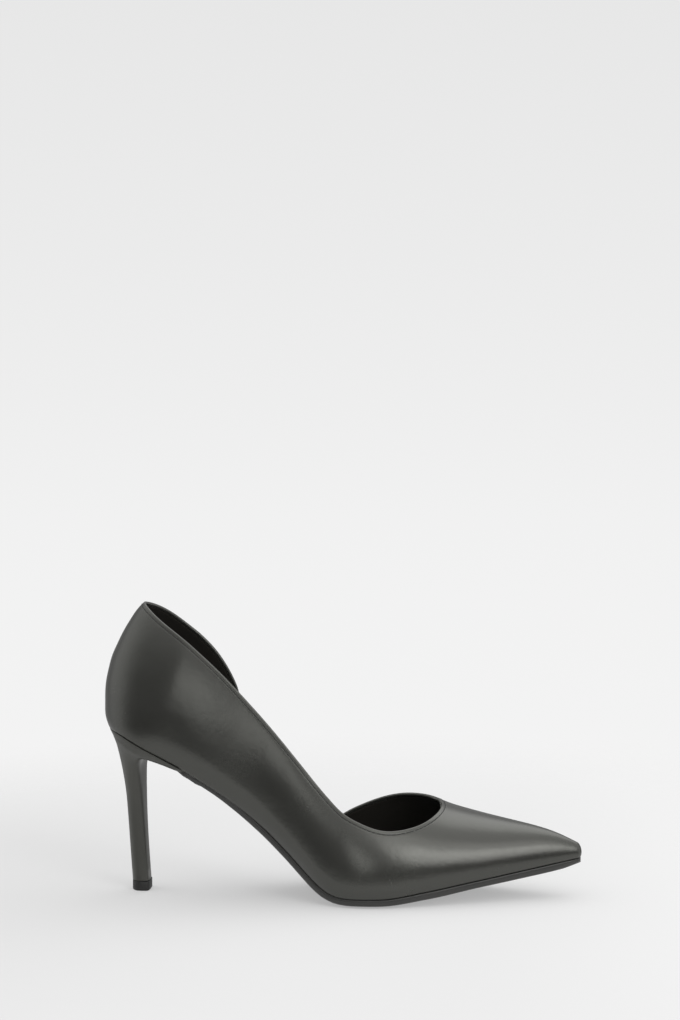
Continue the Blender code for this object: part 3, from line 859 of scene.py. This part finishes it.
def leather_finish(name, shade, rough, has_edge=False):
    """Smooth black leather: fine pores, an uneven skin and tone, and a slight sheen."""
    finish = Finish(name, IOR=1.72, Specular_Tint=(0.99, 1.0, 0.93, 1.0))
    cloud = finish.noise(CLOUD_SCALE, 3.0)
    swell = finish.noise(SWELL.scale)
    mottle = finish.noise(MOTTLE.scale)
    pebble = finish.pebble(PEBBLE.scale, 0.6)
    pores = finish.noise(PORES.scale)
    colour = finish.blend(cloud * 0.7 + pores * 0.3, shade.dark, shade.light)
    roughness = cloud * 0.08 + mottle * 0.08 + (rough - 0.08)
    relief = swell * SWELL.height + mottle * MOTTLE.height + pebble * PEBBLE.height + pores * PORES.height
    normal = finish.bump(relief, 1.0, 1.0)
    if has_edge:
        depth = finish.attribute(EDGE_DEPTH)
        # Painted highlight along the folded edge, paler than the leather
        edge_highlight = 1 - finish.ramp(depth, EDGE_HIGHLIGHT_FULL, EDGE_HIGHLIGHT_GONE)
        edge_highlight_colour = tuple(channel * EDGE_HIGHLIGHT_PALER for channel in shade.light[:3]) + (1.0,)
        # Painted shade in the stitch groove: darker and rougher there
        groove = finish.band(depth, GROOVE_SHADE_BAND)
        colour = finish.blend(edge_highlight * 0.5, colour, edge_highlight_colour)
        colour = finish.blend(groove * 0.75, colour, GROOVE_SHADE_COLOUR)
        roughness = roughness + groove * 0.25
        # Painted highlight along the upper's foot at the heel, fading out along the counter
        along = finish.node("SeparateXYZ", {}, {0: finish.place}, output="X")
        foot_highlight = finish.band(finish.attribute(FOOT_RISE), FOOT_HIGHLIGHT_BAND)
        foot_highlight = foot_highlight * (1 - finish.ramp(along, FOOT_HIGHLIGHT_FADES, FOOT_HIGHLIGHT_GONE))
        colour = finish.blend(foot_highlight * 0.8, colour, FOOT_HIGHLIGHT_COLOUR)
    finish.feed("Base Color", colour)
    finish.feed("Roughness", roughness)
    finish.feed("Normal", normal)
    return finish.material


def lining_finish():
    """Brown-black brushed lining."""
    finish = Finish("brushed_lining", IOR=1.3, Sheen_Weight=0.03, Sheen_Roughness=0.6)
    fibre = finish.noise(1900.0, 3.0, 0.7)
    cloud = finish.noise(90.0)
    colour = finish.blend(fibre * 0.6 + cloud * 0.4, LINING.dark, LINING.light)
    # Painted highlight on the lining's turned edge, just inside the folded edge
    turned = finish.band(finish.attribute(EDGE_DEPTH), TURN_HIGHLIGHT_BAND)
    colour = finish.blend(turned * 0.6, colour, TURN_HIGHLIGHT_COLOUR)
    finish.feed("Base Color", colour)
    finish.feed("Roughness", 0.82 + cloud * 0.12)
    finish.feed("Normal", finish.bump(fibre, 0.00012, 0.5))
    return finish.material


def sock_finish():
    """Smooth black sock over the insole."""
    finish = Finish("sock", IOR=1.45)
    grain = finish.pebble(900.0, 0.5)
    cloud = finish.noise(45.0)
    finish.feed("Base Color", finish.blend(cloud, SOCK.dark, SOCK.light))
    finish.feed("Roughness", 0.6 + cloud * 0.12)
    finish.feed("Normal", finish.bump(grain, 0.00006, 0.4))
    return finish.material


def rubber_finish(name, shade, rough, grain):
    """Moulded black rubber with a fine matt texture."""
    finish = Finish(name, IOR=1.5)
    speck = finish.noise(grain, 3.0, 0.6)
    cloud = finish.noise(55.0)
    finish.feed("Base Color", finish.blend(cloud * 0.7 + speck * 0.3, shade.dark, shade.light))
    finish.feed("Roughness", rough + cloud * 0.1)
    finish.feed("Normal", finish.bump(speck, 0.00005, 0.35))
    return finish.material


def thread_finish():
    """Twisted black sewing thread."""
    finish = Finish("thread", IOR=1.45, Sheen_Weight=0.1)
    twist = finish.noise(5200.0)
    finish.feed("Base Color", finish.blend(twist, THREAD.dark, THREAD.light))
    finish.feed("Roughness", 0.5 + twist * 0.2)
    finish.feed("Normal", finish.bump(twist, 0.00003, 0.4))
    return finish.material


# Pieces of the shoe

def dress(piece, node=None):
    """Hang a finished piece on the shoe."""
    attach(piece, "root")
    if node:
        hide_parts(node)


def search_tree(points):
    """A tree that finds the nearest of many points."""
    tree = KDTree(len(points))
    for index, point in enumerate(points):
        tree.insert(point, index)
    tree.balance()
    return tree


def keep_distances(piece, points, name):
    """Keep on the mesh how far each vertex lies from a path, in millimetres."""
    tree = search_tree(points)
    distances = [tree.find(vertex.co)[2] / MM for vertex in piece.data.vertices]
    attribute = piece.data.attributes.new(name, "FLOAT", "POINT")
    attribute.data.foreach_set("value", distances)
    return distances


def fine_path(points, step):
    """The same path, with points no further apart than the step."""
    fine = []
    for start, end in zip(points, points[1:]):
        count = max(1, math.ceil(np.linalg.norm(end - start) / step))
        fine += [start + (end - start) * index / count for index in range(count)]
    return fine + [points[-1]]


def make_upper(edge_points):
    """The upper: a sheet drawn on the last, given its wall, with the edge folded over."""
    points = wall_points()
    columns, rows = points.shape[:2]
    bpy.ops.object.select_all(action="DESELECT")
    bpy.ops.mesh.primitive_grid_add(x_subdivisions=columns - 1, y_subdivisions=rows - 1, size=1)
    upper = bpy.context.object
    upper.name = "upper_leather"
    for vertex in upper.data.vertices:
        column = round((vertex.co.x + 0.5) * (columns - 1))
        row = round((vertex.co.y + 0.5) * (rows - 1))
        vertex.co = points[column, row]
    merge_points(upper, COPY_MERGE)
    side_faces = [face for face in upper.data.polygons if face.center.y < OUTER_SIDE * MM]
    if sum(face.normal.y for face in side_faces) > 0:
        edit(upper)
        bpy.ops.mesh.flip_normals()
        close_edit()
    drawn = BVHTree.FromObject(upper, bpy.context.evaluated_depsgraph_get())
    depths = keep_distances(upper, edge_points, EDGE_DEPTH)
    rises = keep_distances(upper, fine_path(list(feather_edge()), FINE_STEP), FOOT_RISE)
    normals = [vertex.normal.copy() for vertex in upper.data.vertices]
    for vertex, normal in zip(upper.data.vertices, normals):
        vertex.co -= normal * WALL_HALF * MM
    thickness = upper.vertex_groups.new(name="wall")
    fold = table_curve(FOLD, "depth", "half", flat_curve)
    foot_fold = table_curve(FOOT_FOLD, "depth", "half", flat_curve)
    for index, (depth, rise) in enumerate(zip(depths, rises)):
        thickness.add([index], min(fold(depth), foot_fold(rise)) / FOLD_HALF, "REPLACE")
    wall = upper.modifiers.new("wall", "SOLIDIFY")
    wall.thickness = 2 * FOLD_HALF * MM
    wall.offset = 0.0
    wall.use_quality_normals = True
    wall.vertex_group = thickness.name
    wall.material_offset = 1
    upper.data.materials.append(leather_finish("black_leather", LEATHER, LEATHER_ROUGH, has_edge=True))
    upper.data.materials.append(lining_finish())
    apply_modifier(upper, wall)
    merge_points(upper, FOLD_MERGE)
    counter_corner = wall_line(MEDIAL_COUNTER, MEDIAL, MEDIAL_COUNTER[-1].foot)(1.0)
    smooth_points(upper, Vector(packed(counter_corner)), CORNER_REACH * MM, CORNER_PASSES)
    depths = upper.data.attributes[EDGE_DEPTH].data
    for face in upper.data.polygons:
        face.use_smooth = True
        if max(depths[index].value for index in face.vertices) < FACING_DEPTH:
            face.material_index = 0
    dress(upper, "upper")
    return drawn


def stitch_path(edge_points, surface):
    """Places for the stitches: a point, its normal and its direction, at an even depth below the edge."""
    tree = search_tree(edge_points)
    path = []
    for before, point, after in zip(edge_points, edge_points[1:], edge_points[2:]):
        direction = Vector(after - before).normalized()
        normal = surface.find_nearest(Vector(point))[1]
        down = direction.cross(normal).normalized()
        spot, normal, _, _ = surface.find_nearest(Vector(point) + down * STITCH_DEPTH * MM)
        if abs(tree.find(spot)[2] - STITCH_DEPTH * MM) < STITCH_SLACK * MM:
            path.append((spot, normal))
    return path


def stitch_lies_flat(tips, surface, tree):
    """Whether both tips of a stitch lie on the leather, clear of its edge."""
    loose = 2 * STITCH_SLACK * MM
    on_leather = all(surface.find_nearest(tip)[3] < loose for tip in tips)
    return on_leather and all(tree.find(tip)[2] > STITCH_DEPTH * MM - loose for tip in tips)


def make_stitching(edge_points, surface):
    """A row of stitches in the groove below the folded edge."""
    bpy.ops.object.select_all(action="DESELECT")
    bpy.ops.mesh.primitive_uv_sphere_add(segments=STITCH_SEGMENTS, ring_count=STITCH_RINGS,
                                         radius=STITCH_WIDTH / 2 * MM)
    stitch = bpy.context.object
    reach = (STITCH_LENGTH - STITCH_WIDTH) / 2 * MM
    for vertex in stitch.data.vertices:
        vertex.co = Vector((vertex.co.z + math.copysign(reach, vertex.co.z), vertex.co.y, vertex.co.x))
    stitch.data.materials.append(thread_finish())
    spots = stitch_path(edge_points, surface)
    tree = search_tree(edge_points)
    lengths = np.concatenate(([0], np.cumsum([(b[0] - a[0]).length for a, b in zip(spots, spots[1:])])))
    copies = []
    for place in np.arange(STITCH_MARGIN * MM, lengths[-1] - STITCH_MARGIN * MM, STITCH_PITCH * MM):
        index = int(np.searchsorted(lengths, place))
        low = max(0, index - STITCH_NEIGHBOURS)
        high = min(len(spots) - 1, index + STITCH_NEIGHBOURS)
        direction = (spots[high][0] - spots[low][0]).normalized()
        spot, normal = spots[index]
        if not stitch_lies_flat((spot - direction * reach, spot + direction * reach), surface, tree):
            continue
        side = normal.cross(direction).normalized()
        turn = Matrix((direction, side, normal)).transposed().to_4x4()
        copy = stitch.copy()
        copy.data = stitch.data.copy()
        copy.data.transform(Matrix.Translation(spot - normal * STITCH_SINK * MM) @ turn)
        bpy.context.scene.collection.objects.link(copy)
        copies.append(copy)
    bpy.data.objects.remove(stitch)
    select_only(copies[0])
    for copy in copies:
        copy.select_set(True)
    bpy.ops.object.join()
    row = bpy.context.object
    row.name = "topline_stitching"
    edit(row)
    bpy.ops.mesh.normals_make_consistent(inside=False)
    close_edit()
    for face in row.data.polygons:
        face.use_smooth = True
    dress(row)


def make_sock():
    """The sock that covers the insole, with rounded edges."""
    sock = solid_copy("insole", "sock")
    round_sharp_edges(sock, SOCK_ROUND)
    smooth_by_angle(sock)
    sock.data.materials.append(sock_finish())
    dress(sock, "insole")


def make_outsole():
    """The outsole, brought up to the upper and out to it at the neck, with the edge round its top rounded."""
    outsole = solid_copy("outsole", "rubber_outsole")
    edit_faces(outsole, lambda face: SOLE_NECK_FROM < face.center.x < SOLE_NECK_TO)
    bpy.ops.transform.resize(value=(1.0, SOLE_NECK_WIDEN, 1.0))
    close_edit()
    raise_top(outsole, SOLE_RAISE)
    edit_faces(outsole, lambda face: face.normal.z > UPWARD and face.center.x < SOLE_ROUND_END)
    bpy.ops.mesh.region_to_loop()
    bpy.ops.mesh.bevel(offset=SOLE_ROUND, segments=SOLE_ROUND_STEPS, affect="EDGES", clamp_overlap=False)
    close_edit()

    def under_wings(face):
        return face.normal.z < -UPWARD and SOLE_FILL_FROM < face.center.x < SOLE_FILL_TO

    edit_faces(outsole, under_wings)
    bpy.ops.transform.translate(value=(0.0, 0.0, -SOLE_FILL))
    close_edit()
    smooth_by_angle(outsole)
    outsole.data.materials.append(rubber_finish("sole_rubber", SOLE_RUBBER, SOLE_ROUGH, SOLE_GRAIN))
    dress(outsole, "outsole")


def make_heel():
    """The slim heel under its leather cover."""
    heel = solid_copy("heel", "covered_heel")
    raise_top(heel, SOLE_RAISE)
    smooth_by_angle(heel)
    heel.data.materials.append(leather_finish("heel_leather", HEEL_LEATHER, HEEL_ROUGH))
    dress(heel, "heel")


def make_lift():
    """The rubber tip."""
    lift = solid_copy("top_lift", "rubber_lift")
    round_sharp_edges(lift, LIFT_ROUND)
    smooth_by_angle(lift)
    lift.data.materials.append(rubber_finish("lift_rubber", LIFT_RUBBER, LIFT_ROUGH, LIFT_GRAIN))
    dress(lift, "top_lift")


# Stage

def make_floor():
    """A pale round table that fades into the backdrop, and lets flat reflected rays through to it."""
    bpy.ops.object.select_all(action="DESELECT")
    bpy.ops.mesh.primitive_circle_add(vertices=TABLE_SIDES, radius=TABLE_GONE, fill_type="TRIFAN")
    floor = bpy.context.object
    floor.name = "studio_floor"
    finish = Finish("studio_floor", Specular_IOR_Level=0.0, Emission_Strength=1.0)
    pale = (TABLE_ALBEDO, TABLE_ALBEDO, TABLE_ALBEDO, 1.0)
    paler = tuple(channel * TABLE_UNEVEN for channel in pale[:3]) + (1.0,)
    finish.feed("Base Color", finish.blend(finish.noise(3.0), pale, paler))
    # The table's glow is painted light that lifts its shadows, more towards the toe
    along = finish.node("SeparateXYZ", {}, {0: finish.place}, output="X")
    heel_gain = finish.ramp(along, HEEL_GAIN.start, HEEL_GAIN.end) * HEEL_GAIN.amount
    toe_gain = finish.ramp(along, TOE_GAIN.start, TOE_GAIN.end) * TOE_GAIN.amount
    finish.feed("Emission Color", heel_gain + toe_gain + TABLE_GLOW)
    finish.feed("Roughness", 0.9)
    radius = finish.node("VectorMath", {"operation": "LENGTH"}, {0: finish.place}, output="Value")
    seen = finish.node("LightPath", output="Is Camera Ray")
    facing = finish.node("LayerWeight", {}, {"Blend": 0.5}, output="Facing")
    glance = finish.ramp(facing, GLANCE_FROM, GLANCE_FULL) * (1 - seen)
    solid = (1 - finish.ramp(radius, TABLE_SOLID, TABLE_GONE)) * (1 - glance)
    clear = finish.node("BsdfTransparent")
    surface = finish.node("MixShader", {}, {0: solid, 1: clear, 2: Wire(finish, finish.shader.outputs[0])})
    finish.join(finish.tree.nodes["Material Output"].inputs["Surface"], surface)
    floor.data.materials.append(finish.material)


def soft_box(graph, direction, box):
    """The light of one soft box, over the direction that is looked in."""
    turn, up = math.radians(box.turn), math.radians(box.up)
    towards = (math.cos(up) * math.sin(turn), -math.cos(up) * math.cos(turn), math.sin(up))
    aligned = {"operation": "DOT_PRODUCT"}
    facing = graph.node("VectorMath", aligned, {0: direction, 1: towards}, output="Value")
    edge, even = math.cos(math.radians(box.gone)), math.cos(math.radians(box.even))
    return box.radiance * graph.ramp(facing, edge, even)


def make_world():
    """Soft studio surroundings, with a plain backdrop behind the shoe."""
    world = bpy.data.worlds.new("studio")
    bpy.context.scene.world = world
    world.use_nodes = True
    graph = Graph(world.node_tree)
    direction = graph.node("TexCoord", output="Generated")
    height = graph.node("SeparateXYZ", {}, {0: direction}, output="Z")
    across = graph.node("SeparateXYZ", {}, {0: direction}, output="Y")
    in_front = graph.ramp(0.0 - across, FRONT_FROM, FRONT_FULL)
    behind = graph.ramp(across, BACK_FROM, BACK_FULL)
    light = graph.blend(in_front, graph.tones(height, SIDE_LIGHT), graph.tones(height, FRONT_LIGHT))
    light = graph.blend(behind, light, graph.tones(height, BACK_LIGHT))
    for box in SOFT_BOXES:
        light = light + soft_box(graph, direction, box)
    room = graph.node("Background", {}, {"Color": light})
    backdrop = graph.node("Background", {}, {"Color": graph.tones(height, BACKDROP)})
    seen = graph.node("LightPath", output="Is Camera Ray")
    surface = graph.node("MixShader", {}, {0: seen, 1: room, 2: backdrop})
    graph.join(graph.tree.nodes["World Output"].inputs["Surface"], surface)


def make_camera():
    """The photograph's view: a long lens a little above the shoe."""
    lens = bpy.data.cameras.new("camera")
    lens.sensor_fit = "AUTO"
    lens.sensor_width = CAMERA_SENSOR
    lens.lens = CAMERA_LENS
    camera = bpy.data.objects.new("camera", lens)
    bpy.context.scene.collection.objects.link(camera)
    camera.location = CAMERA_PLACE
    camera.rotation_euler = (math.radians(90.0 - CAMERA_DOWN), 0.0, math.radians(CAMERA_TURN))
    bpy.context.scene.camera = camera


edge_points = fine_path(list(folded_edge()), FINE_STEP)
drawn_wall = make_upper(edge_points)
make_stitching(fine_path(list(folded_edge()), STITCH_PATH_STEP * MM), drawn_wall)
make_sock()
make_outsole()
make_heel()
make_lift()
make_floor()
make_world()
make_camera()
bpy.context.scene.view_settings.view_transform = "Standard"
